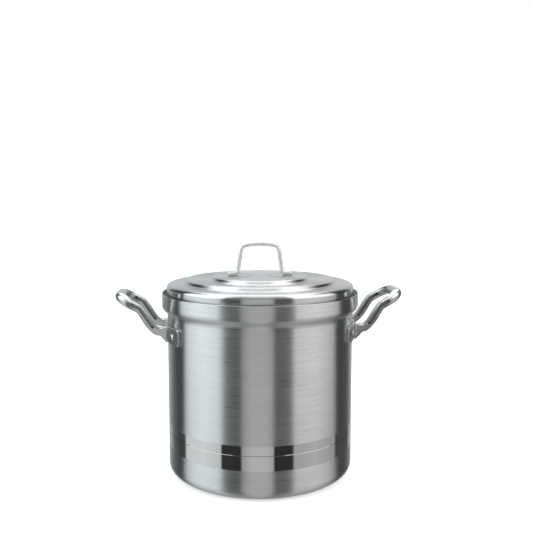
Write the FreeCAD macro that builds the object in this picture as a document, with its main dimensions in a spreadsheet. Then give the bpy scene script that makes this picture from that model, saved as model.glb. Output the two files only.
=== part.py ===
import FreeCAD, Part
import math
import os

import Sketcher

# Stock pot with a lid: a deep stainless steel pot with a stepped collar, a loose lid that sits
# inside the collar, and two cast loop handles riveted to the wall.
# Frame: origin at the centre of the pot's underside, +Z up, the side handles along +X and -X.

SHEET_NAME = "Sizes"

# Every driving dimension, in millimetres or degrees.
DIMENSIONS = {
    "pot_height": 292.5,
    "body_radius": 150.0,
    "collar_radius": 158.7,
    "wall": 1.2,
    "base_thickness": 2.0,
    "base_corner_radius": 15.4,
    "shoulder_low": 261.6,
    "shoulder_high": 268.4,
    "shoulder_fillet": 11.0,
    "rim_fillet": 0.5,
    "ring_line_height": 70.1,
    "ring_line_half_width": 0.5,
    "ring_line_depth": 0.4,
    "lid_sheet": 1.0,
    "lid_radius": 151.0,
    "lid_seat": 263.3,
    "lid_flange_edge": 306.5,
    "lid_flange_root": 308.3,
    "lid_corner_radius": 6.5,
    "lid_ring_radius": 124.0,
    "lid_ring_outer": 313.6,
    "lid_ring_inner": 312.4,
    "lid_disc_radius": 76.0,
    "lid_disc_edge": 317.4,
    "lid_disc_centre": 319.2,
    "lid_riser_run": 4.2,
    "lid_step_radius": 2.6,
    "rod_radius": 3.5,
    "rod_sink": 0.4,
    "foot_end": 53.5,
    "foot_bend_radius": 6.5,
    "foot_bend_across": 42.0,
    "toe_radius": 3.0,
    "leg_lean": 7.5,
    "grip_top": 372.8,
    "grip_arch_radius": 115.0,
    "grip_bend_radius": 11.5,
    "arm_spacing": 77.0,
    "arm_width": 13.4,
    "arm_thickness": 12.4,
    "arm_edge_radius": 2.6,
    "arm_root_inside": 145.0,
    "arm_root_height": 236.0,
    "arm_elbow": 167.8,
    "arm_knee": 191.7,
    "arm_knee_height": 271.8,
    "arm_level": 224.0,
    "elbow_radius": 17.0,
    "knee_radius": 18.0,
    "level_radius": 24.0,
    "loop_corner_radius": 26.0,
    "loop_reach": 223.2,
    "loop_height": 288.8,
    "grip_width": 15.8,
    "grip_thickness": 14.8,
    "grip_edge_radius": 6.4,
    "recess_depth": 4.0,
    "recess_margin": 6.0,
    "recess_below": 0.8,
    "recess_above": 4.0,
    "recess_start": 171.5,
    "recess_end": 205.0,
    "plate_thickness": 4.0,
    "plate_low": 218.5,
    "plate_high": 245.0,
    "plate_sweep": 63.0,
    "plate_corner_radius": 8.0,
    "plate_edge_radius": 0.8,
    "web_thickness": 7.5,
    "web_low": 219.5,
    "web_high": 241.0,
    "web_slope": 6.0,
    "web_sweep": 35.0,
    "gusset_reach": 160.5,
    "gusset_overlap": 0.6,
    "rivet_turn": 23.5,
    "rivet_height": 231.0,
    "rivet_shank_radius": 3.0,
    "rivet_hole_radius": 3.1,
    "rivet_head_radius": 5.5,
    "rivet_head_height": 2.2,
    "rivet_tail_radius": 6.0,
    "rivet_tail_height": 1.6,
}

# Stations round the loop's corner: how far round it they are, and how far each section has grown
# from the arm's section to the grip's.
CORNER_STATIONS = ((0.25, 0.3), (0.5, 0.8), (0.75, 1.0), (1.0, 1.0))

POINT_TOLERANCE = 0.01
HALF_TURN = 180.0
FULL_TURN = 360.0


class Size:
    """A number together with the sheet expression that gives it."""

    def __init__(self, value, text):
        self.value = value
        self.text = text

    def __add__(self, other):
        other = as_size(other)
        return Size(self.value + other.value, f"({self.text} + {other.text})")

    def __sub__(self, other):
        other = as_size(other)
        return Size(self.value - other.value, f"({self.text} - {other.text})")

    def __mul__(self, other):
        other = as_size(other)
        return Size(self.value * other.value, f"({self.text} * {other.text})")

    def __truediv__(self, other):
        other = as_size(other)
        return Size(self.value / other.value, f"({self.text} / {other.text})")

    def root(self):
        return Size(math.sqrt(self.value), f"sqrt({self.text})")


def as_size(number):
    """Wrap a plain number so that it can be mixed with sheet sizes."""
    if isinstance(number, Size):
        return number
    return Size(float(number), str(number))


class SizeTable:
    """Sheet sizes by name: table.wall is the Size of the cell with the alias wall."""

    def __init__(self, sheet):
        for name in DIMENSIONS:
            setattr(self, name, Size(float(sheet.get(name)), f"{SHEET_NAME}.{name}"))


ORIGIN = as_size(0)


def make_sheet(doc):
    """Spreadsheet with one row for each driving dimension."""
    sheet = doc.addObject("Spreadsheet::Sheet", SHEET_NAME)
    for row, (name, value) in enumerate(DIMENSIONS.items(), start=1):
        sheet.set(f"A{row}", name)
        sheet.set(f"B{row}", str(value))
        sheet.setAlias(f"B{row}", name)
    doc.recompute()
    return sheet


def new_body(doc, label):
    body = doc.addObject("PartDesign::Body", label)
    body.Label = label
    return body


def origin_item(body, role):
    """Plane or axis of the body's own origin."""
    return next(item for item in body.Origin.OriginFeatures if item.Role == role)


def new_sketch(body, name, plane="XZ_Plane"):
    sketch = body.newObject("Sketcher::SketchObject", name)
    sketch.AttachmentSupport = [(origin_item(body, plane), "")]
    sketch.MapMode = "FlatFace"
    return sketch


def drive(sketch, constraint, size):
    """Add a constraint to the sketch and bind its value to a size."""
    number = sketch.addConstraint(constraint)
    name = f"size_{number}"
    sketch.renameConstraint(number, name)
    sketch.setExpression(f"Constraints.{name}", size.text)


def pin_along(sketch, kind, axis, geometry, point, size):
    """Fix one coordinate of a point; zero puts it on the sketch's axis."""
    if abs(size.value) < POINT_TOLERANCE:
        sketch.addConstraint(Sketcher.Constraint("PointOnObject", geometry, point, axis))
        return
    if size.value < 0:
        flipped = ORIGIN - size
        constraint = Sketcher.Constraint(kind, geometry, point, -1, 1, flipped.value)
        drive(sketch, constraint, flipped)
        return
    drive(sketch, Sketcher.Constraint(kind, -1, 1, geometry, point, size.value), size)


def pin_point(sketch, geometry, point, across, up):
    pin_along(sketch, "DistanceX", -2, geometry, point, across)
    pin_along(sketch, "DistanceY", -1, geometry, point, up)


def polygon_sketch(body, name, corners, plane="XZ_Plane"):
    """Closed straight-sided outline; each corner is a pair of sizes."""
    sketch = new_sketch(body, name, plane)
    points = [FreeCAD.Vector(across.value, up.value, 0) for across, up in corners]
    count = len(points)
    for index in range(count):
        sketch.addGeometry(Part.LineSegment(points[index], points[(index + 1) % count]))
    for index in range(count):
        follower = (index + 1) % count
        sketch.addConstraint(Sketcher.Constraint("Coincident", index, 2, follower, 1))
    for index, (across, up) in enumerate(corners):
        pin_point(sketch, index, 1, across, up)
    return sketch


def revolve(body, name, sketch, sweep=None):
    """Turn an outline about the pot's axis, fully or through a sweep centred on +X."""
    feature = body.newObject("PartDesign::Revolution", name)
    feature.Profile = sketch
    feature.ReferenceAxis = (sketch, ["V_Axis"])
    if sweep is None:
        feature.Angle = FULL_TURN
        return feature
    feature.Midplane = True
    feature.setExpression("Angle", sweep.text)
    return feature


def cut_ring(doc, body, name, sketch):
    """Cut the ring swept by an outline turned about the pot's axis, and make sure it cut."""
    doc.recompute()
    before = body.Shape.Volume
    feature = body.newObject("PartDesign::Groove", name)
    feature.Profile = sketch
    feature.ReferenceAxis = (sketch, ["V_Axis"])
    feature.Angle = FULL_TURN
    doc.recompute()
    require_cut(body, before, name)
    return feature


def require_cut(body, before, name):
    if body.Shape.Volume >= before:
        raise RuntimeError(f"{name} removed no material")


def round_edges(doc, body, name, radius, wanted):
    """Fillet the edges of the body's last feature that satisfy wanted."""
    doc.recompute()
    feature = body.Tip
    names = [
        f"Edge{number}"
        for number, edge in enumerate(feature.Shape.Edges, start=1)
        if wanted(edge)
    ]
    if not names:
        raise RuntimeError(f"{name} found no edge")
    fillet = body.newObject("PartDesign::Fillet", name)
    fillet.Base = (feature, names)
    fillet.setExpression("Radius", radius.text)
    doc.recompute()
    return fillet


def is_ring(edge, radius, height):
    """True for a circle about the pot's axis with this radius and height."""
    curve = edge.Curve
    if not isinstance(curve, Part.Circle):
        return False
    centre = curve.Center
    on_axis = math.hypot(centre.x, centre.y) < POINT_TOLERANCE
    same_radius = abs(curve.Radius - radius.value) < POINT_TOLERANCE
    return on_axis and same_radius and abs(centre.z - height.value) < POINT_TOLERANCE


def round_rings(doc, body, name, radius, rings):
    """Fillet the circles about the pot's axis given as (radius, height) pairs."""
    round_edges(
        doc, body, name, radius,
        lambda edge: any(is_ring(edge, across, up) for across, up in rings),
    )


def wall_lift(size):
    """How far the wall's inner corners rise above the outer corners of the sloped shoulder."""
    run = size.collar_radius - size.body_radius
    rise = size.shoulder_high - size.shoulder_low
    slope = (run * run + rise * rise).root()
    return size.wall * (slope - rise) / run


def shell_corners(size):
    """Outline of the pot's wall and base, from the centre of the underside."""
    lift = wall_lift(size)
    inside = size.body_radius - size.wall
    collar_inside = size.collar_radius - size.wall
    return [
        (ORIGIN, ORIGIN),
        (size.body_radius, ORIGIN),
        (size.body_radius, size.shoulder_low),
        (size.collar_radius, size.shoulder_high),
        (size.collar_radius, size.pot_height),
        (collar_inside, size.pot_height),
        (collar_inside, size.shoulder_high + lift),
        (inside, size.shoulder_low + lift),
        (inside, size.base_thickness),
        (ORIGIN, size.base_thickness),
    ]


def turned_sketch(body, name, turn):
    """Sketch on an upright plane through the pot's axis that faces +X turned by an angle."""
    sketch = new_sketch(body, name, "YZ_Plane")
    upright = FreeCAD.Vector(0, 1, 0)
    sketch.AttachmentOffset = FreeCAD.Placement(
        FreeCAD.Vector(), FreeCAD.Rotation(upright, turn)
    )
    return sketch


def drill_rivet_holes(doc, body, size, turn, both_sides):
    """Hole for a rivet, along the radius at this turn from +X, and from -X too on request."""
    name = f"rivet_hole_{'front' if turn < 0 else 'rear'}"
    sketch = turned_sketch(body, f"{name}_outline", turn)
    centre = FreeCAD.Vector(0, size.rivet_height.value, 0)
    normal = FreeCAD.Vector(0, 0, 1)
    sketch.addGeometry(Part.Circle(centre, normal, size.rivet_hole_radius.value))
    pin_point(sketch, 0, 3, ORIGIN, size.rivet_height)
    radius = size.rivet_hole_radius
    drive(sketch, Sketcher.Constraint("Radius", 0, radius.value), radius)
    doc.recompute()
    before = body.Shape.Volume
    pocket = body.newObject("PartDesign::Pocket", name)
    pocket.Profile = sketch
    pocket.Type = "ThroughAll"
    pocket.Midplane = both_sides
    pocket.Reversed = not both_sides
    doc.recompute()
    require_cut(body, before, name)


def make_pot(doc, size):
    body = new_body(doc, "pot_body")
    shell = polygon_sketch(body, "shell_outline", shell_corners(size))
    revolve(body, "shell", shell)
    lift = wall_lift(size)
    inside = size.body_radius - size.wall
    collar_inside = size.collar_radius - size.wall
    round_rings(
        doc, body, "base_corner", size.base_corner_radius, [(size.body_radius, ORIGIN)]
    )
    round_rings(
        doc, body, "inner_base_corner", size.base_corner_radius - size.wall,
        [(inside, size.base_thickness)],
    )
    outer_rings = [
        (size.body_radius, size.shoulder_low), (size.collar_radius, size.shoulder_high)
    ]
    round_rings(doc, body, "outer_shoulder", size.shoulder_fillet, outer_rings)
    round_rings(
        doc, body, "inner_shoulder_low", size.shoulder_fillet + size.wall,
        [(inside, size.shoulder_low + lift)],
    )
    round_rings(
        doc, body, "inner_shoulder_high", size.shoulder_fillet - size.wall,
        [(collar_inside, size.shoulder_high + lift)],
    )
    rim = [(size.collar_radius, size.pot_height), (collar_inside, size.pot_height)]
    round_rings(doc, body, "rim_roll", size.rim_fillet, rim)
    line = polygon_sketch(body, "ring_line_outline", ring_line_corners(size))
    cut_ring(doc, body, "ring_line", line)
    for turn in (-size.rivet_turn.value, size.rivet_turn.value):
        drill_rivet_holes(doc, body, size, turn, True)
    return body


def ring_line_corners(size):
    """Notch turned into the wall to mark the polished band."""
    return [
        (size.body_radius - size.ring_line_depth, size.ring_line_height),
        (size.body_radius, size.ring_line_height - size.ring_line_half_width),
        (size.body_radius + 1, size.ring_line_height),
        (size.body_radius, size.ring_line_height + size.ring_line_half_width),
    ]


def lid_top_corners(size):
    """Upper surface of the lid, from the centre of the disc out to the bottom of the skirt."""
    return [
        (ORIGIN, size.lid_disc_centre),
        (size.lid_disc_radius, size.lid_disc_edge),
        (size.lid_disc_radius + size.lid_riser_run, size.lid_ring_inner),
        (size.lid_ring_radius - size.lid_riser_run, size.lid_ring_outer),
        (size.lid_ring_radius, size.lid_flange_root),
        (size.lid_radius, size.lid_flange_edge),
        (size.lid_radius, size.lid_seat),
    ]


def riser_inset(size):
    """How far inward a riser's under side starts, for the sheet to keep its thickness."""
    run = size.lid_riser_run
    rise = size.lid_disc_edge - size.lid_ring_inner
    slope = (run * run + rise * rise).root()
    return size.lid_sheet * (slope - run) / rise


def lid_under_corners(size):
    """Lower surface of the lid, from the bottom of the skirt back to the centre."""
    sheet = size.lid_sheet
    inset = riser_inset(size)
    inner_skirt = size.lid_radius - sheet
    return [
        (inner_skirt, size.lid_seat),
        (inner_skirt, size.lid_flange_edge - sheet),
        (size.lid_ring_radius - inset, size.lid_flange_root - sheet),
        (size.lid_ring_radius - size.lid_riser_run - inset, size.lid_ring_outer - sheet),
        (size.lid_disc_radius + size.lid_riser_run - inset, size.lid_ring_inner - sheet),
        (size.lid_disc_radius - inset, size.lid_disc_edge - sheet),
        (ORIGIN, size.lid_disc_centre - sheet),
    ]


def make_lid(doc, size):
    body = new_body(doc, "lid")
    top = lid_top_corners(size)
    under = lid_under_corners(size)
    revolve(body, "pressing", polygon_sketch(body, "pressing_outline", top + under))
    round_rings(doc, body, "flange_corner", size.lid_corner_radius, [top[5]])
    round_rings(
        doc, body, "flange_inner_corner", size.lid_corner_radius - size.lid_sheet, [under[1]]
    )
    round_rings(doc, body, "steps", size.lid_step_radius, top[1:5] + under[2:6])
    return body


def disc_fall(size):
    """How much the lid's conical disc drops for each millimetre away from the axis."""
    return (size.lid_disc_centre - size.lid_disc_edge) / size.lid_disc_radius


def offset_point(point, angle, distance):
    """Point at a distance from another, in a direction given in radians above +X."""
    return FreeCAD.Vector(
        point.x + distance * math.cos(angle), point.y + distance * math.sin(angle), 0
    )


def bend_centre(arch_centre, arch_radius, leg_point, lean, bend_radius):
    """Centre of the bend that is tangent to the leg and, from inside, to the arch."""
    start = offset_point(leg_point, lean, -bend_radius)
    direction = FreeCAD.Vector(-math.sin(lean), math.cos(lean), 0)
    gap = start - arch_centre
    along = gap.dot(direction)
    reach = (arch_radius - bend_radius) ** 2 - gap.dot(gap) + along * along
    return start + direction * (math.sqrt(reach) - along)


def lid_rod_sketch(body, size):
    """Centreline of the right half of the lid handle: arch, bend, leg, bend and foot."""
    fall = disc_fall(size)
    lean = math.radians(size.leg_lean.value)
    slope = math.atan(fall.value)
    top = size.grip_top - size.rod_radius
    foot_height = size.lid_disc_centre - fall * size.foot_end + size.rod_radius - size.rod_sink
    end = FreeCAD.Vector(size.foot_end.value, foot_height.value, 0)
    foot_radius = size.foot_bend_radius.value
    bend_radius = size.grip_bend_radius.value
    arch_radius = size.grip_arch_radius.value

    down = math.radians(270) - slope
    inward = math.radians(HALF_TURN) + lean
    toe_x = size.foot_bend_across.value + foot_radius * math.cos(down)
    toe = FreeCAD.Vector(toe_x, end.y + (end.x - toe_x) * fall.value, 0)
    foot_centre = offset_point(toe, down, -foot_radius)
    ankle = offset_point(foot_centre, inward, foot_radius)
    arch_centre = FreeCAD.Vector(0, top.value - arch_radius, 0)
    corner = bend_centre(arch_centre, arch_radius, ankle, lean, bend_radius)
    meet = math.atan2(corner.y - arch_centre.y, corner.x - arch_centre.x)
    knee = offset_point(corner, lean, bend_radius)

    sketch = new_sketch(body, "rod_path")
    normal = FreeCAD.Vector(0, 0, 1)
    arch = Part.Circle(arch_centre, normal, arch_radius)
    bend = Part.Circle(corner, normal, bend_radius)
    foot_bend = Part.Circle(foot_centre, normal, foot_radius)
    sketch.addGeometry(Part.ArcOfCircle(arch, meet, math.radians(90)))
    sketch.addGeometry(Part.ArcOfCircle(bend, lean, meet))
    sketch.addGeometry(Part.LineSegment(knee, ankle))
    sketch.addGeometry(Part.ArcOfCircle(foot_bend, inward, down))
    sketch.addGeometry(Part.LineSegment(toe, end))

    for joint in ((0, 1, 1, 2), (1, 1, 2, 1), (2, 2, 3, 1), (3, 2, 4, 1)):
        sketch.addConstraint(Sketcher.Constraint("Tangent", *joint))
    sketch.addConstraint(Sketcher.Constraint("PointOnObject", 0, 3, -2))
    pin_point(sketch, 0, 2, ORIGIN, top)
    for geometry, radius in (
        (0, size.grip_arch_radius), (1, size.grip_bend_radius), (3, size.foot_bend_radius)
    ):
        drive(sketch, Sketcher.Constraint("Radius", geometry, radius.value), radius)
    pin_point(sketch, 4, 2, size.foot_end, foot_height)
    pin_along(sketch, "DistanceX", -2, 3, 3, size.foot_bend_across)
    leg_angle = Size(lean - math.radians(90), f"(({size.leg_lean.text} - 90) * 1 deg)")
    drive(sketch, Sketcher.Constraint("Angle", 2, leg_angle.value), leg_angle)
    foot_angle = Size(-slope, f"(-atan({fall.text}))")
    drive(sketch, Sketcher.Constraint("Angle", 4, foot_angle.value), foot_angle)
    return sketch


def make_lid_handle(doc, size):
    """Round rod bent into a grip with two feet that lie on the lid's disc."""
    body = new_body(doc, "lid_handle")
    path = lid_rod_sketch(body, size)
    profile = new_sketch(body, "rod_section", "YZ_Plane")
    top = size.grip_top - size.rod_radius
    centre = FreeCAD.Vector(0, top.value, 0)
    profile.addGeometry(Part.Circle(centre, FreeCAD.Vector(0, 0, 1), size.rod_radius.value))
    pin_point(profile, 0, 3, ORIGIN, top)
    drive(profile, Sketcher.Constraint("Radius", 0, size.rod_radius.value), size.rod_radius)
    doc.recompute()
    rod = body.newObject("PartDesign::AdditivePipe", "rod")
    rod.Profile = profile
    rod.Spine = (path, [f"Edge{n + 1}" for n in range(len(path.Shape.Edges))])
    doc.recompute()
    end = path.getPoint(4, 2)
    tip = FreeCAD.Vector(end.x, 0, end.y)
    toe_round = round_edges(
        doc, body, "toe_round", size.toe_radius,
        lambda edge: edge.CenterOfMass.distanceToPoint(tip) < POINT_TOLERANCE,
    )
    seat = polygon_sketch(body, "seat_outline", [
        (ORIGIN, size.lid_disc_centre),
        (size.lid_disc_radius, size.lid_disc_edge),
        (size.lid_disc_radius, size.lid_disc_edge - size.rod_radius * 2),
        (ORIGIN, size.lid_disc_edge - size.rod_radius * 2),
    ])
    seat_cut = cut_ring(doc, body, "seat", seat)
    mirror = body.newObject("PartDesign::Mirrored", "other_half")
    mirror.Originals = [rod, toe_round, seat_cut]
    mirror.MirrorPlane = (origin_item(body, "YZ_Plane"), [""])
    body.Tip = mirror
    return body


class Station:
    """One section of the cast loop: where it is, which way the loop runs and how big it is."""

    def __init__(self, point, heading, blend):
        self.point = point
        self.heading = heading
        self.blend = blend

    def mirrored(self):
        """The matching station on the other arm, where the loop runs back to the wall."""
        point = FreeCAD.Vector(self.point.x, -self.point.y, self.point.z)
        heading = FreeCAD.Vector(-self.heading.x, self.heading.y, -self.heading.z)
        return Station(point, heading, self.blend)

    def placement(self):
        heading = FreeCAD.Vector(self.heading)
        side = FreeCAD.Vector(0, 0, 1).cross(heading)
        upward = heading.cross(side)
        rotation = FreeCAD.Rotation(side, upward, heading, "ZXY")
        return FreeCAD.Placement(self.point, rotation)


class Climb:
    """Side view of an arm's centreline: straight runs joined by round bends."""

    def __init__(self, corners, radii):
        self.corners = [FreeCAD.Vector(along, 0, up) for along, up in corners]
        self.radii = radii

    def bend(self, number, share):
        """Point and direction part of the way round a bend; share 0 is its start, 1 its end."""
        before, corner, after = self.corners[number:number + 3]
        arriving = (corner - before).normalize()
        leaving = (after - corner).normalize()
        turn = arriving.getAngle(leaving)
        rising = 1 if arriving.cross(leaving).y < 0 else -1
        radius = self.radii[number]
        start = corner - arriving * (radius * math.tan(turn / 2))
        tilt = FreeCAD.Rotation(FreeCAD.Vector(0, -rising, 0), math.degrees(turn * share))
        to_centre = FreeCAD.Rotation(FreeCAD.Vector(0, -rising, 0), 90).multVec(arriving)
        centre = start + to_centre * radius
        return centre + tilt.multVec(start - centre), tilt.multVec(arriving)


def loop_stations(size):
    """Stations of the whole loop, from the root of the +Y arm to the root of the -Y arm."""
    level = size.loop_height.value
    climb = Climb(
        [
            (size.arm_root_inside.value, size.arm_root_height.value),
            (size.arm_elbow.value, size.arm_root_height.value),
            (size.arm_knee.value, size.arm_knee_height.value),
            (size.arm_level.value, level),
            (size.arm_level.value + size.loop_reach.value, level),
        ],
        [size.elbow_radius.value, size.knee_radius.value, size.level_radius.value],
    )
    spacing = size.arm_spacing.value / 2
    radius = size.loop_corner_radius.value
    corner_start = size.loop_reach.value - radius
    out = FreeCAD.Vector(1, 0, 0)
    arm = FreeCAD.Vector(0, spacing, 0)
    stations = [Station(climb.corners[0] + arm, out, 0)]
    for number in (0, 1):
        for share in (0, 0.5, 1):
            point, heading = climb.bend(number, share)
            stations.append(Station(point + arm, heading, 0))
    centre = FreeCAD.Vector(corner_start, spacing - radius, 0)
    for share, blend in CORNER_STATIONS:
        turn = math.radians(90) * share
        along = corner_start + radius * turn
        rise, slope = height_along(climb, along)
        heading = FreeCAD.Vector(math.cos(turn), -math.sin(turn), slope).normalize()
        point = centre + FreeCAD.Vector(
            radius * math.sin(turn), radius * math.cos(turn), rise
        )
        stations.append(Station(point, heading, blend))
    tip = FreeCAD.Vector(size.loop_reach.value, 0, level)
    stations.append(Station(tip, FreeCAD.Vector(0, -1, 0), 1))
    return stations + [station.mirrored() for station in reversed(stations[:-1])]


def height_along(climb, along):
    """Height and slope of the centreline before its last bend, inside it or on the level beyond."""
    steps = 40
    best, heading = climb.bend(2, 0)
    slope = heading.z / heading.x
    if along < best.x:
        return best.z - (best.x - along) * slope, slope
    for step in range(steps + 1):
        point, heading = climb.bend(2, step / steps)
        if point.x >= along:
            return point.z, heading.z / heading.x
        best = point
    return best.z, 0


def section_sketch(body, name, station, size):
    """Rounded rectangle across the loop at one station."""
    def mix(arm, grip):
        return arm + (grip - arm) * station.blend

    half_width = mix(size.arm_width, size.grip_width) / 2
    half_height = mix(size.arm_thickness, size.grip_thickness) / 2
    radius = mix(size.arm_edge_radius, size.grip_edge_radius)
    across, up, bend = half_width.value, half_height.value, radius.value
    sketch = body.newObject("Sketcher::SketchObject", name)
    sketch.MapMode = "Deactivated"
    sketch.Placement = station.placement()
    straight = across - bend
    tall = up - bend
    ends = [
        ((-straight, -up), (straight, -up)), ((across, -tall), (across, tall)),
        ((straight, up), (-straight, up)), ((-across, tall), (-across, -tall)),
    ]
    for first, last in ends:
        sketch.addGeometry(
            Part.LineSegment(FreeCAD.Vector(*first, 0), FreeCAD.Vector(*last, 0))
        )
    normal = FreeCAD.Vector(0, 0, 1)
    centres = [(straight, -tall), (straight, tall), (-straight, tall), (-straight, -tall)]
    for number, (x, y) in enumerate(centres):
        circle = Part.Circle(FreeCAD.Vector(x, y, 0), normal, bend)
        start = math.radians(90 * (number - 1))
        sketch.addGeometry(Part.ArcOfCircle(circle, start, start + math.radians(90)))
    for number in range(4):
        arc = number + 4
        sketch.addConstraint(Sketcher.Constraint("Tangent", number, 2, arc, 1))
        sketch.addConstraint(Sketcher.Constraint("Tangent", arc, 2, (number + 1) % 4, 1))
        if number:
            sketch.addConstraint(Sketcher.Constraint("Equal", 4, arc))
    for number, kind in enumerate(("Horizontal", "Vertical", "Horizontal", "Vertical")):
        sketch.addConstraint(Sketcher.Constraint(kind, number))
    drive(sketch, Sketcher.Constraint("Radius", 4, bend), radius)
    drive(sketch, Sketcher.Constraint("DistanceX", -1, 1, 1, 1, across), half_width)
    drive(sketch, Sketcher.Constraint("DistanceX", 3, 1, -1, 1, across), half_width)
    drive(sketch, Sketcher.Constraint("DistanceY", -1, 1, 2, 1, up), half_height)
    drive(sketch, Sketcher.Constraint("DistanceY", 0, 1, -1, 1, up), half_height)
    return sketch


def extrude(body, name, sketch, width):
    """Block as wide as width, centred on its sketch."""
    pad = body.newObject("PartDesign::Pad", name)
    pad.Profile = sketch
    pad.Midplane = True
    pad.setExpression("Length", width.text)
    return pad


def cut_block(doc, body, name, sketch, width):
    """Cut a block as wide as width, centred on its sketch, and make sure it cut."""
    doc.recompute()
    before = body.Shape.Volume
    pocket = body.newObject("PartDesign::Pocket", name)
    pocket.Profile = sketch
    pocket.Midplane = True
    pocket.setExpression("Length", width.text)
    doc.recompute()
    require_cut(body, before, name)


def cast_loop(doc, body, size):
    """Two arms that rise from the wall and meet in a thick grip."""
    sections = [
        section_sketch(body, f"loop_section_{number}", station, size)
        for number, station in enumerate(loop_stations(size), start=1)
    ]
    loop = body.newObject("PartDesign::AdditiveLoft", "loop")
    loop.Profile = sections[0]
    loop.Sections = [(section, [""]) for section in sections[1:]]
    loop.Ruled = False
    doc.recompute()


def arm_gussets(doc, body, size):
    """Sloped block under the root of each arm, with the gap between the arms left open."""
    inner = size.arm_root_inside
    bottom = size.arm_root_height - size.arm_thickness / 2 + size.gusset_overlap
    outline = polygon_sketch(body, "gusset_outline", [
        (inner, size.web_low),
        (size.body_radius + 1, size.web_low),
        (size.gusset_reach, bottom),
        (size.gusset_reach, size.arm_root_height),
        (inner, size.arm_root_height),
    ])
    extrude(body, "gusset", outline, size.arm_spacing + size.arm_width)
    gap = polygon_sketch(body, "gap_outline", [
        (inner - 1, size.web_low - 1),
        (size.gusset_reach + 1, size.web_low - 1),
        (size.gusset_reach + 1, size.plate_high),
        (inner - 1, size.plate_high),
    ])
    cut_block(doc, body, "gap", gap, size.arm_spacing - size.arm_width)


def beside_arm(size, lift):
    """Start, knee and end of a line that runs beside the arm's centreline, lift above it."""
    run = size.arm_knee - size.arm_elbow
    rise = size.arm_knee_height - size.arm_root_height
    length = (run * run + rise * rise).root()
    upper_run = size.arm_level - size.arm_knee
    upper_rise = size.loop_height - size.arm_knee_height
    upper_length = (upper_run * upper_run + upper_rise * upper_rise).root()
    left, up = rise / length, run / length
    upper_left, upper_up = upper_rise / upper_length, upper_run / upper_length
    share = lift / (left * upper_left + up * upper_up + 1)
    start_height = size.arm_root_height + (size.recess_start - size.arm_elbow) * rise / run
    end_height = (
        size.arm_knee_height + (size.recess_end - size.arm_knee) * upper_rise / upper_run
    )
    return [
        (size.recess_start - left * lift, start_height + up * lift),
        (
            size.arm_knee - (left + upper_left) * share,
            size.arm_knee_height + (up + upper_up) * share,
        ),
        (size.recess_end - upper_left * lift, end_height + upper_up * lift),
    ]


def arm_recesses(doc, body, size):
    """Long recess in both flanks of each arm, which leaves a thin wall between two flanges."""
    below = beside_arm(size, ORIGIN - size.recess_below)
    above = beside_arm(size, size.recess_above)
    width = size.recess_depth + size.recess_margin
    offset = (size.arm_width + size.recess_margin - size.recess_depth) / 2
    middle = size.arm_spacing / 2
    for side, sign in (("left", -1), ("right", 1)):
        for flank, place in (("outer", middle + offset), ("inner", middle - offset)):
            name = f"{side}_{flank}_recess"
            outline = polygon_sketch(body, f"{name}_outline", below + above[::-1])
            shift = place * sign
            outline.setExpression("AttachmentOffset.Base.z", shift.text)
            cut_block(doc, body, name, outline, width)


def curved_plate(doc, body, size):
    """Plate that follows the wall, with a thicker web between the arms."""
    inner = size.arm_root_inside
    outer = size.body_radius + size.plate_thickness
    plate = polygon_sketch(body, "plate_outline", [
        (inner + 1, size.plate_low),
        (outer, size.plate_low),
        (outer, size.plate_high),
        (inner + 1, size.plate_high),
    ])
    revolve(body, "plate", plate, size.plate_sweep)
    web_outer = size.body_radius + size.web_thickness
    web = polygon_sketch(body, "web_outline", [
        (inner + 2, size.web_low),
        (size.body_radius + 1, size.web_low),
        (web_outer, size.web_low + size.web_slope),
        (web_outer, size.web_high - 2),
        (web_outer - 2, size.web_high),
        (inner + 2, size.web_high),
    ])
    revolve(body, "web", web, size.web_sweep)
    bore = polygon_sketch(body, "wall_clearance", [
        (ORIGIN, size.plate_low - 10),
        (size.body_radius, size.plate_low - 10),
        (size.body_radius, size.plate_high + 10),
        (ORIGIN, size.plate_high + 10),
    ])
    cut_ring(doc, body, "wall_side", bore)


def is_plate_corner(edge, size):
    """True for the short edges across the plate's thickness at its two ends."""
    centre = edge.CenterOfMass
    turn = math.degrees(math.atan2(abs(centre.y), centre.x))
    at_end = abs(turn - size.plate_sweep.value / 2) < POINT_TOLERANCE * 10
    return at_end and abs(edge.Length - size.plate_thickness.value) < POINT_TOLERANCE


def is_plate_rim(edge, size):
    """True for the edges that bound the plate's outer face."""
    outer = size.body_radius.value + size.plate_thickness.value
    span = edge.LastParameter - edge.FirstParameter
    points = [edge.valueAt(edge.FirstParameter + span * step / 4) for step in range(5)]
    if any(abs(math.hypot(point.x, point.y) - outer) > POINT_TOLERANCE for point in points):
        return False
    heights = [point.z for point in points]
    flat = max(heights) - min(heights) < POINT_TOLERANCE
    bounds = (size.plate_low.value, size.plate_high.value)
    if flat and any(abs(heights[0] - bound) < POINT_TOLERANCE for bound in bounds):
        return True
    turns = [math.degrees(math.atan2(abs(point.y), point.x)) for point in points]
    return min(turns) > size.plate_sweep.value / 2 - math.degrees(
        size.plate_corner_radius.value / size.body_radius.value
    ) - 1


def make_side_handle(doc, size, label, turn):
    """Cast handle: two arms and a grip in one loop, on a plate that follows the wall."""
    body = new_body(doc, label)
    cast_loop(doc, body, size)
    arm_gussets(doc, body, size)
    curved_plate(doc, body, size)
    round_edges(
        doc, body, "plate_corners", size.plate_corner_radius,
        lambda edge: is_plate_corner(edge, size),
    )
    arm_recesses(doc, body, size)
    for hole_turn in (-size.rivet_turn.value, size.rivet_turn.value):
        drill_rivet_holes(doc, body, size, hole_turn, False)
    round_edges(
        doc, body, "plate_rim", size.plate_edge_radius,
        lambda edge: is_plate_rim(edge, size),
    )
    body.Placement.Rotation = FreeCAD.Rotation(FreeCAD.Vector(0, 0, 1), turn)
    return body


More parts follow.
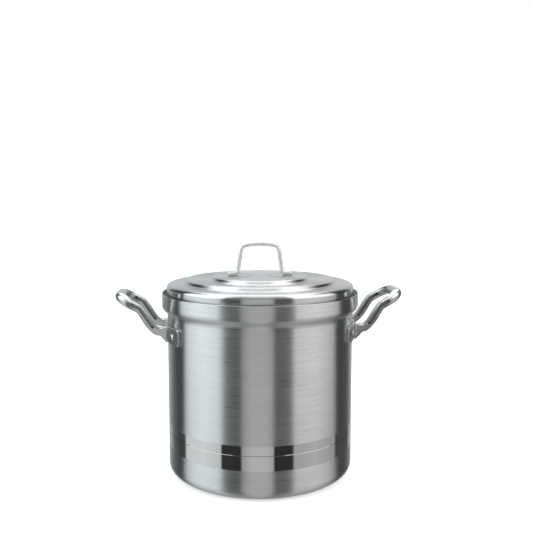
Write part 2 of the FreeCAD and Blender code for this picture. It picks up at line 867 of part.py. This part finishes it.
def make_rivet(doc, size, name, turn):
    """Rivet along the radius at this turn: domed head outside, flat head inside the pot."""
    body = new_body(doc, name)
    inside = size.body_radius - size.wall
    seat = (inside * inside - size.rivet_tail_radius * size.rivet_tail_radius).root()
    outer = size.body_radius + size.plate_thickness
    outline = polygon_sketch(body, f"{name}_outline", [
        (seat - size.rivet_tail_height, ORIGIN),
        (seat - size.rivet_tail_height, size.rivet_tail_radius),
        (seat, size.rivet_tail_radius),
        (seat, size.rivet_shank_radius),
        (outer, size.rivet_shank_radius),
        (outer, size.rivet_head_radius),
        (outer + size.rivet_head_height * 0.45, size.rivet_head_radius),
        (outer + size.rivet_head_height, size.rivet_head_radius * 0.6),
        (outer + size.rivet_head_height, ORIGIN),
    ])
    feature = body.newObject("PartDesign::Revolution", f"{name}_turned")
    feature.Profile = outline
    feature.ReferenceAxis = (outline, ["H_Axis"])
    feature.Angle = FULL_TURN
    height = FreeCAD.Vector(0, 0, size.rivet_height.value)
    body.Placement = FreeCAD.Placement(
        height, FreeCAD.Rotation(FreeCAD.Vector(0, 0, 1), turn)
    )
    return body


def make_rivets(doc, size, label, turn):
    """The pair of rivets that hold one side handle."""
    spread = size.rivet_turn.value
    pair = doc.addObject("Part::Compound", label)
    pair.Label = label
    pair.Links = [
        make_rivet(doc, size, f"{label}_{number}", turn + offset)
        for number, offset in enumerate((-spread, spread), start=1)
    ]
    return pair


def check_document(doc, pieces):
    """Stop before anything is written if a feature failed or a piece isn't sound."""
    for item in doc.Objects:
        if {"Invalid", "Error"} & set(item.State):
            raise RuntimeError(f"{item.Label} did not build")
    for piece in pieces:
        if piece.Shape.isNull() or not piece.Shape.isValid():
            raise RuntimeError(f"{piece.Label} has no valid shape")


def main():
    doc = FreeCAD.newDocument("stock_pot")
    size = SizeTable(make_sheet(doc))
    pieces = [
        make_pot(doc, size),
        make_lid(doc, size),
        make_lid_handle(doc, size),
        make_side_handle(doc, size, "right_side_handle", 0),
        make_side_handle(doc, size, "left_side_handle", HALF_TURN),
        make_rivets(doc, size, "right_handle_rivets", 0),
        make_rivets(doc, size, "left_handle_rivets", HALF_TURN),
    ]
    doc.recompute()
    check_document(doc, pieces)
    os.makedirs("parts", exist_ok=True)
    for piece in pieces:
        piece.Shape.exportStep(f"parts/{piece.Label}.step")


main()
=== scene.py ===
import math

import bpy
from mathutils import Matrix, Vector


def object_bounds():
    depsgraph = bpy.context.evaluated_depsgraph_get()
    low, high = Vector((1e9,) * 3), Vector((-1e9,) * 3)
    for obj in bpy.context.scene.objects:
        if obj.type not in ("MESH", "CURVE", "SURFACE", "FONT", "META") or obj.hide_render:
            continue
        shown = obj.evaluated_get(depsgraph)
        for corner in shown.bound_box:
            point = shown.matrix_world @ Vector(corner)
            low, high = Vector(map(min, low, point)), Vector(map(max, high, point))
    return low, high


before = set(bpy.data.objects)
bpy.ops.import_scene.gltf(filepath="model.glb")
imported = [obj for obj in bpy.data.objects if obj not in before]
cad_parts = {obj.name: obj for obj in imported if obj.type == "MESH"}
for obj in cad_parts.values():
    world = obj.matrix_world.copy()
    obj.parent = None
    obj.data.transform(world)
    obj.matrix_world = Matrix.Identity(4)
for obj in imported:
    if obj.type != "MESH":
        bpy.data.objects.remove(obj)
CAD_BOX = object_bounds()

# Everything is in metres, in the row frame: +Z up, the pot's axis on Z, side handles along X.
# Angles are in degrees, colours are RGBA, and a span is where a smooth step starts and ends.

FULL_TURN = 360.0
WHITE = (1, 1, 1, 1)

# Camera. The lens is in millimetres.
CAMERA_PLACE = (-0.0993, -1.135, 0.4545)
CAMERA_TILT = 83.88
CAMERA_HEADING = -5.53
CAMERA_LENS = 47.57
# The way the camera looks, in its own axes. It is tipped up a little, so that it still has a
# heading when the camera looks straight down.
CAMERA_AHEAD = (0.0, 0.3, 1.0)

# Brightness of the studio round the object: azimuth from the camera's side, positive to the
# camera's right, then brightness. One list is for eye level and below, one for above it.
LOW_LIGHT = (
    (-180, 0.50), (-150, 0.48), (-134, 0.16), (-118, 0.07), (-106, 0.08), (-102, 0.80),
    (-90, 0.88), (-72, 0.90), (-58, 0.80), (-49, 0.72), (-46.5, 0.045), (-23, 0.035),
    (-21, 0.42), (-10, 0.62), (8, 0.62), (16, 0.50), (18, 0.035), (40.5, 0.040),
    (42.5, 0.48), (72, 0.58), (92, 0.48), (104, 0.40), (108, 0.08), (140, 0.09),
    (150, 0.46), (180, 0.50),
)
HIGH_LIGHT = (
    (-180, 0.66), (-146, 0.62), (-134, 0.05), (-104, 0.05), (-101, 1.80), (-72, 2.20),
    (-45, 1.50), (-41, 0.28), (-24, 0.28), (-20, 0.38), (18, 0.38), (20, 0.28),
    (38, 0.28), (42, 1.55), (72, 1.85), (100, 1.60), (104, 0.05), (134, 0.05),
    (146, 0.62), (180, 0.66),
)
LEVEL_SCALE = 2.0  # Levels are divided by this in a colour ramp, and multiplied back after it.
EYE_LEVEL_SPAN = (-3.0, 5.0)
# The overhead light starts lower behind the object than in front of it, and is dimmer straight up.
OVERHEAD = 2.9
OVERHEAD_FROM_IN_FRONT = 62.0
OVERHEAD_FROM_BEHIND = 42.0
OVERHEAD_BLUR = 7.0
BEHIND_SPAN = (128.0, 146.0)
ZENITH = 1.15
ZENITH_SPAN = (56.0, 70.0)
# Light that comes back up off the table: a share of the low light and a little more.
TABLE_GLOW = 0.50
TABLE_EXTRA = 0.5
TABLE_SPAN = (-30.0, -50.0)
# The light is cooler on the camera's left.
LIGHT_TINT = (0.985, 1.0, 0.995, 1)
LEFT_LIGHT_TINT = (0.945, 1.0, 1.02, 1)
LEFT_SPAN = (-30.0, -60.0)

# Turned steel. A layer of streaks is how fast it changes along the lines and across them, and its
# detail. The shares say how much of the grain each layer makes.
BROAD_STREAKS = (2.5, 420.0, 2.0)
FINE_STREAKS = (4.0, 900.0, 3.0)
HAIR_STREAKS = (9.0, 3200.0, 2.0)
BROAD_SHARE = 0.4
FINE_SHARE = 0.4
HAIR_SHARE = 0.2
STREAK_GRIT = 0.6
AXIS_RADIUS = 0.001  # x and y are divided by at least this radius, and so never by zero.
CLOUD_SCALE = 14.0
GRAIN_ROUGHNESS = 0.16
CLOUD_ROUGHNESS = 0.06
GRAIN_SPAN = (0.30, 0.70)
TURNED_DARK = (0.60, 0.61, 0.605, 1)
TURNED_LIGHT = (0.70, 0.71, 0.705, 1)
GRAIN_DEPTH = 0.00004
GRAIN_STRENGTH = 0.35
BROAD_EXTRA_DEPTH = 0.5
ANISOTROPY = 1.0
BRUSHING_TURN = 0.25  # In whole turns: the highlights spread across the lines.

# The mirror-polished band round the pot, and the turned line in it. Depths are below the wall's
# outside, so the band leaves out the inside of the pot.
BAND_LOW = 0.04725
BAND_HIGH = 0.0844
BAND_BLUR = 0.0004
WALL_RADIUS = 0.150
BAND_DEPTH_SPAN = (0.0009, 0.0007)
LINE_DEPTH_SPAN = (0.00004, 0.00016)
MIRROR_ROUGHNESS = 0.02
MIRROR_CLOUD_ROUGHNESS = 0.03
MIRROR_GRAIN_STRENGTH = 0.02
MIRROR_COLOUR = (0.66, 0.67, 0.655, 1)
# Painted shade: the turned line's groove is coloured darker than the band.
LINE_SHADE_COLOUR = (0.42, 0.42, 0.42, 1)

# Hand-polished steel.
PATCH_SCALE = 60.0
PATCH_ROUGHNESS = 0.12
SCUFF_SCALE = (300.0, 300.0, 1800.0)
SCUFF_ROUGHNESS = 0.08
RIPPLE_GRIT = 0.55
RIPPLE_STRENGTH = 0.6
BEVEL_SAMPLES = 4
# Painted shade in hollows: ambient occlusion finds them, the colour there is darkened and the
# roughness raised.
HOLLOW_SAMPLES = 8
HOLLOW_REACH = 0.006
HOLLOW_SPAN = (0.80, 0.35)
HOLLOW_SHADE_COLOUR = (0.10, 0.105, 0.11, 1)
HOLLOW_ROUGHNESS = 0.25
# Painted shade: the rod is darkened where its surface turns away from the view.
RIM_BLEND = 0.5
RIM_SPAN = (0.15, 0.75)
RIM_SHADE_COLOUR = (0.06, 0.062, 0.064, 1)
ROD_COLOURS = ((0.84, 0.845, 0.84, 1), (0.92, 0.925, 0.92, 1))
CAST_COLOURS = ((0.56, 0.565, 0.57, 1), (0.70, 0.71, 0.71, 1))

# Floor. It is a hair below the pot, so that the two faces don't fight.
FLOOR_REACH = 12.0
FLOOR_GAP = 0.0003
FLOOR_GRAIN_SCALE = 40.0
FLOOR_COLOURS = ((0.90, 0.90, 0.90, 1), (0.93, 0.93, 0.93, 1))
FLOOR_ROUGHNESS = 0.8
FLOOR_SHINE = 0.1
FLOOR_GLOW = 0.45

GLOSSY_BOUNCES = 12

# A mix node has sockets of its own for each kind of value: its first, its second and its output.
MIX_SOCKETS = {"FLOAT": (2, 3, 0), "RGBA": (6, 7, 2)}


class Graph:
    """Short calls for building a node tree."""

    def __init__(self, tree):
        self.tree = tree

    def node(self, kind, **settings):
        made = self.tree.nodes.new(kind)
        for name, value in settings.items():
            setattr(made, name, value)
        return made

    def feed(self, socket, value):
        """Give an input socket a number, a colour or another node's output."""
        if isinstance(value, bpy.types.NodeSocket):
            self.tree.links.new(value, socket)
        else:
            socket.default_value = value

    def feed_named(self, node, values):
        for name, value in values.items():
            self.feed(node.inputs[name], value)

    def math(self, operation, *inputs):
        made = self.node("ShaderNodeMath", operation=operation)
        for socket, value in zip(made.inputs, inputs):
            self.feed(socket, value)
        return made.outputs[0]

    def sway(self, value, amount, base):
        """The base, moved by half the amount either way as the value goes from 0 to 1."""
        return self.math("MULTIPLY_ADD", self.math("SUBTRACT", value, 0.5), amount, base)

    def vector(self, operation, *inputs):
        made = self.node("ShaderNodeVectorMath", operation=operation)
        for socket, value in zip(made.inputs, inputs):
            self.feed(socket, value)
        return made.outputs["Value" if operation in ("DOT_PRODUCT", "LENGTH") else "Vector"]

    def split(self, vector):
        made = self.node("ShaderNodeSeparateXYZ")
        self.feed(made.inputs[0], vector)
        return made.outputs

    def join(self, x, y, z):
        made = self.node("ShaderNodeCombineXYZ")
        for socket, value in zip(made.inputs, (x, y, z)):
            self.feed(socket, value)
        return made.outputs[0]

    def ramp(self, value, start, end):
        """A smooth step: 0 at the start and before it, 1 at the end and past it."""
        made = self.node("ShaderNodeMapRange", interpolation_type="SMOOTHSTEP")
        for socket, number in zip(made.inputs, (value, start, end)):
            self.feed(socket, number)
        return made.outputs[0]

    def mix(self, share, first, second, kind="FLOAT"):
        """The first number where the share is 0, the second where it is 1."""
        first_input, second_input, output = MIX_SOCKETS[kind]
        made = self.node("ShaderNodeMix", data_type=kind)
        self.feed(made.inputs[0], share)
        self.feed(made.inputs[first_input], first)
        self.feed(made.inputs[second_input], second)
        return made.outputs[output]

    def tint(self, share, first, second):
        """The same for colours."""
        return self.mix(share, first, second, "RGBA")

    def place(self):
        """A point's place in the row frame."""
        return self.node("ShaderNodeTexCoord").outputs["Object"]

    def noise(self, vector, scale, detail, grit=0.5):
        """Cloudy noise from 0 to 1. Grit is how strongly its finest detail shows."""
        made = self.node("ShaderNodeTexNoise")
        self.feed_named(made, {"Vector": vector, "Scale": scale, "Detail": detail,
                               "Roughness": grit})
        return made.outputs["Fac"]

    def bump(self, height, strength, distance):
        made = self.node("ShaderNodeBump")
        self.feed_named(made, {"Height": height, "Strength": strength, "Distance": distance})
        return made

    def profile(self, value, stops):
        """Brightness read off a list of (degrees, level) stops by an angle of -180 to 180."""
        made = self.node("ShaderNodeValToRGB")
        self.feed(made.inputs[0], self.math("ADD", self.math("DIVIDE", value, FULL_TURN), 0.5))
        elements = made.color_ramp.elements
        for index, (angle, level) in enumerate(stops):
            place = angle / FULL_TURN + 0.5
            if index < 2:  # A new ramp already has two stops.
                element = elements[index]
                element.position = place
            else:
                element = elements.new(place)
            grey = level / LEVEL_SCALE
            element.color = (grey, grey, grey, 1)
        return self.math("MULTIPLY", made.outputs[0], LEVEL_SCALE)


def ray_angles(g):
    """A ray's azimuth from the camera's side of the object, and its height."""
    ray = g.node("ShaderNodeTexCoord").outputs["Generated"]
    ahead = g.node("ShaderNodeVectorTransform", vector_type="VECTOR",
                   convert_from="CAMERA", convert_to="WORLD")
    ahead.inputs[0].default_value = CAMERA_AHEAD
    ahead_x, ahead_y, _ = g.split(ahead.outputs[0])
    ahead = g.vector("NORMALIZE", g.join(ahead_x, ahead_y, 0.0))
    x, y, _ = g.split(ahead)
    right = g.join(y, g.math("MULTIPLY", x, -1.0), 0.0)
    front = g.math("MULTIPLY", g.vector("DOT_PRODUCT", ray, ahead), -1.0)
    side = g.vector("DOT_PRODUCT", ray, right)
    azimuth = g.math("DEGREES", g.math("ARCTAN2", side, front))
    height = g.math("DEGREES", g.math("ARCSINE", g.split(ray)[2]))
    return azimuth, height


def studio_level(g, azimuth, height):
    """The studio's brightness in a direction."""
    low = g.profile(azimuth, LOW_LIGHT)
    high = g.profile(azimuth, HIGH_LIGHT)
    level = g.mix(g.ramp(height, *EYE_LEVEL_SPAN), low, high)
    behind = g.ramp(g.math("ABSOLUTE", azimuth), *BEHIND_SPAN)
    overhead_from = g.mix(behind, OVERHEAD_FROM_IN_FRONT, OVERHEAD_FROM_BEHIND)
    share = g.ramp(g.math("SUBTRACT", height, overhead_from), -OVERHEAD_BLUR, OVERHEAD_BLUR)
    overhead = g.mix(g.ramp(height, *ZENITH_SPAN), OVERHEAD, ZENITH)
    level = g.mix(share, level, overhead)
    table = g.math("MULTIPLY", g.math("ADD", low, TABLE_EXTRA), TABLE_GLOW)
    return g.mix(g.ramp(height, *TABLE_SPAN), level, table)


def build_world():
    """A studio that turns with the camera, as lights do when the object is on a turntable.

    The camera itself sees plain white.
    """
    world = bpy.data.worlds.new("studio")
    bpy.context.scene.world = world
    world.use_nodes = True
    tree = world.node_tree
    tree.nodes.clear()
    g = Graph(tree)
    azimuth, height = ray_angles(g)
    level = studio_level(g, azimuth, height)
    shown = g.node("ShaderNodeBackground")
    g.feed(shown.inputs[0], WHITE)
    light = g.node("ShaderNodeBackground")
    g.feed(light.inputs[0], g.tint(g.ramp(azimuth, *LEFT_SPAN), LIGHT_TINT, LEFT_LIGHT_TINT))
    g.feed(light.inputs[1], level)
    pick = g.node("ShaderNodeMixShader")
    g.feed(pick.inputs[0], g.node("ShaderNodeLightPath").outputs["Is Camera Ray"])
    g.feed(pick.inputs[1], light.outputs[0])
    g.feed(pick.inputs[2], shown.outputs[0])
    g.feed(g.node("ShaderNodeOutputWorld").inputs[0], pick.outputs[0])


def new_material(name):
    material = bpy.data.materials.new(name)
    material.use_nodes = True
    tree = material.node_tree
    tree.nodes.clear()
    g = Graph(tree)
    shader = g.node("ShaderNodeBsdfPrincipled")
    g.feed(g.node("ShaderNodeOutputMaterial").inputs[0], shader.outputs[0])
    return material, g, shader


def mirror_band(g, radius, z):
    """How far a point is in the polished band, and in the turned line round it, from 0 to 1."""
    def below_wall(depth_span):
        return g.ramp(radius, *(WALL_RADIUS - depth for depth in depth_span))

    band = g.math("MULTIPLY", g.ramp(z, BAND_LOW - BAND_BLUR, BAND_LOW + BAND_BLUR),
                  g.ramp(z, BAND_HIGH + BAND_BLUR, BAND_HIGH - BAND_BLUR))
    band = g.math("MULTIPLY", band, below_wall(BAND_DEPTH_SPAN))
    return band, g.math("MULTIPLY", band, below_wall(LINE_DEPTH_SPAN))


def turned_steel(name, z_sign, roughness, banded=False):
    """Stainless steel brushed round its axis, with the mirror-bright band if it is banded.

    The lines are spaced by radius + z_sign * z, which changes across a wall and a flat alike.
    """
    material, g, shader = new_material(name)
    x, y, z = g.split(g.place())
    radius = g.vector("LENGTH", g.join(x, y, 0.0))
    across = g.math("MULTIPLY_ADD", z, z_sign, radius)
    safe_radius = g.math("MAXIMUM", radius, AXIS_RADIUS)
    round_x = g.math("DIVIDE", x, safe_radius)
    round_y = g.math("DIVIDE", y, safe_radius)

    def streaks(along_scale, across_scale, detail):
        vector = g.join(g.math("MULTIPLY", round_x, along_scale),
                        g.math("MULTIPLY", round_y, along_scale),
                        g.math("MULTIPLY", across, across_scale))
        return g.noise(vector, scale=1.0, detail=detail, grit=STREAK_GRIT)

    broad, fine, hair = (streaks(*layer) for layer in (BROAD_STREAKS, FINE_STREAKS, HAIR_STREAKS))
    cloud = g.noise(g.place(), CLOUD_SCALE, detail=2.0)
    grain = g.math("ADD", g.math("MULTIPLY", fine, FINE_SHARE),
                   g.math("MULTIPLY", hair, HAIR_SHARE))
    grain = g.math("MULTIPLY_ADD", broad, BROAD_SHARE, grain)
    rough = g.sway(cloud, CLOUD_ROUGHNESS, g.sway(grain, GRAIN_ROUGHNESS, roughness))
    colour = g.tint(g.ramp(grain, *GRAIN_SPAN), TURNED_DARK, TURNED_LIGHT)
    anisotropy = ANISOTROPY
    strength = GRAIN_STRENGTH
    if banded:
        band, line = mirror_band(g, radius, z)
        mirror = g.math("MULTIPLY_ADD", cloud, MIRROR_CLOUD_ROUGHNESS, MIRROR_ROUGHNESS)
        rough = g.mix(band, rough, mirror)
        anisotropy = g.mix(band, anisotropy, 0.0)
        strength = g.mix(band, strength, MIRROR_GRAIN_STRENGTH)
        colour = g.tint(band, colour, MIRROR_COLOUR)
        # Painted shade in the turned line's groove.
        colour = g.tint(line, colour, LINE_SHADE_COLOUR)

    depth = g.math("ADD", grain, g.math("MULTIPLY", broad, BROAD_EXTRA_DEPTH))
    tangent = g.node("ShaderNodeTangent", direction_type="RADIAL", axis="Z")
    g.feed_named(shader, {
        "Base Color": colour, "Metallic": 1.0, "Roughness": rough,
        "Anisotropic": anisotropy, "Anisotropic Rotation": BRUSHING_TURN,
        "Tangent": tangent.outputs[0],
        "Normal": g.bump(depth, strength, GRAIN_DEPTH).outputs[0]})
    return material


def polished_steel(name, colours, roughness, ripple_scale, ripple_depth, softness, hollow_shade=0.0,
                   rim_shade=0.0, metal=1.0):
    """Bright hand-polished steel, a little uneven, with its edges rounded by the softness.

    Hollow shade is how much painted shade darkens its hollows, and rim shade is how much painted
    shade darkens it where it turns away.
    """
    material, g, shader = new_material(name)
    place = g.place()
    patches = g.noise(place, PATCH_SCALE, detail=3.0)
    ripple = g.noise(place, ripple_scale, detail=3.0, grit=RIPPLE_GRIT)
    scuffs = g.noise(g.vector("MULTIPLY", place, SCUFF_SCALE), scale=1.0, detail=2.0)
    rough = g.sway(scuffs, SCUFF_ROUGHNESS, g.sway(patches, PATCH_ROUGHNESS, roughness))
    colour = g.tint(patches, *colours)
    # Painted shade: the colour is darkened in hollows that ambient occlusion finds, and they are
    # made rougher.
    if hollow_shade:
        hollow = g.node("ShaderNodeAmbientOcclusion", samples=HOLLOW_SAMPLES)
        g.feed(hollow.inputs["Distance"], HOLLOW_REACH)
        hollow_shade_mask = g.ramp(hollow.outputs["AO"], *HOLLOW_SPAN)
        colour = g.tint(g.math("MULTIPLY", hollow_shade_mask, hollow_shade), colour, HOLLOW_SHADE_COLOUR)
        rough = g.math("MULTIPLY_ADD", hollow_shade_mask, HOLLOW_ROUGHNESS, rough)
    # Painted shade on the rims that turn away from the view.
    if rim_shade:
        facing = g.node("ShaderNodeLayerWeight")
        g.feed(facing.inputs["Blend"], RIM_BLEND)
        rim_shade_mask = g.math("MULTIPLY", g.ramp(facing.outputs["Facing"], *RIM_SPAN), rim_shade)
        colour = g.tint(rim_shade_mask, colour, RIM_SHADE_COLOUR)
    soft = g.node("ShaderNodeBevel", samples=BEVEL_SAMPLES)
    g.feed(soft.inputs["Radius"], softness)
    bump = g.bump(ripple, RIPPLE_STRENGTH, ripple_depth)
    g.feed(bump.inputs["Normal"], soft.outputs[0])
    g.feed_named(shader, {"Base Color": colour, "Metallic": metal, "Roughness": rough,
                          "Normal": bump.outputs[0]})
    return material


def floor_material():
    material, g, shader = new_material("pale_floor")
    grain = g.noise(g.place(), FLOOR_GRAIN_SCALE, detail=4.0)
    g.feed_named(shader, {
        "Base Color": g.tint(grain, *FLOOR_COLOURS), "Roughness": FLOOR_ROUGHNESS,
        "Specular IOR Level": FLOOR_SHINE, "Emission Color": WHITE,
        "Emission Strength": FLOOR_GLOW})
    return material


def build_floor():
    reach = FLOOR_REACH
    mesh = bpy.data.meshes.new("floor")
    corners = [(-reach, -reach, 0), (reach, -reach, 0), (reach, reach, 0), (-reach, reach, 0)]
    mesh.from_pydata(corners, [], [(0, 1, 2, 3)])
    floor = bpy.data.objects.new("floor", mesh)
    floor.location.z = CAD_BOX[0].z - FLOOR_GAP
    bpy.context.scene.collection.objects.link(floor)
    mesh.materials.append(floor_material())
    floor.visible_glossy = False


def build_camera():
    camera = bpy.data.objects.new("camera", bpy.data.cameras.new("camera"))
    bpy.context.scene.collection.objects.link(camera)
    camera.location = CAMERA_PLACE
    camera.rotation_euler = (math.radians(CAMERA_TILT), 0, math.radians(CAMERA_HEADING))
    camera.data.lens = CAMERA_LENS
    bpy.context.scene.camera = camera


def paint(node, material):
    """Give a CAD node its finish in every slot it has."""
    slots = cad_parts[node].data.materials
    if len(slots) == 0:
        slots.append(material)
    for index in range(len(slots)):
        slots[index] = material


def paint_pot():
    paint("pot_body", turned_steel("pot_steel", z_sign=1.0, roughness=0.29, banded=True))
    paint("lid", turned_steel("lid_steel", z_sign=-1.0, roughness=0.20))
    paint("lid_handle", polished_steel(
        "rod_steel", ROD_COLOURS, roughness=0.28, ripple_scale=120.0, ripple_depth=0.00002,
        softness=0.0003, rim_shade=0.75, metal=0.7))
    cast = polished_steel("cast_steel", CAST_COLOURS, roughness=0.27, ripple_scale=110.0,
                          ripple_depth=0.0002, softness=0.0012, hollow_shade=0.85)
    rivet = polished_steel("rivet_steel", CAST_COLOURS, roughness=0.24, ripple_scale=300.0,
                           ripple_depth=0.0001, softness=0.0004, hollow_shade=0.5)
    for side in ("left", "right"):
        paint(f"{side}_side_handle", cast)
        paint(f"{side}_handle_rivets", rivet)


def main():
    build_world()
    build_floor()
    build_camera()
    paint_pot()
    scene = bpy.context.scene
    scene.view_settings.view_transform = "Standard"
    scene.cycles.use_denoising = True
    scene.cycles.glossy_bounces = GLOSSY_BOUNCES


main()
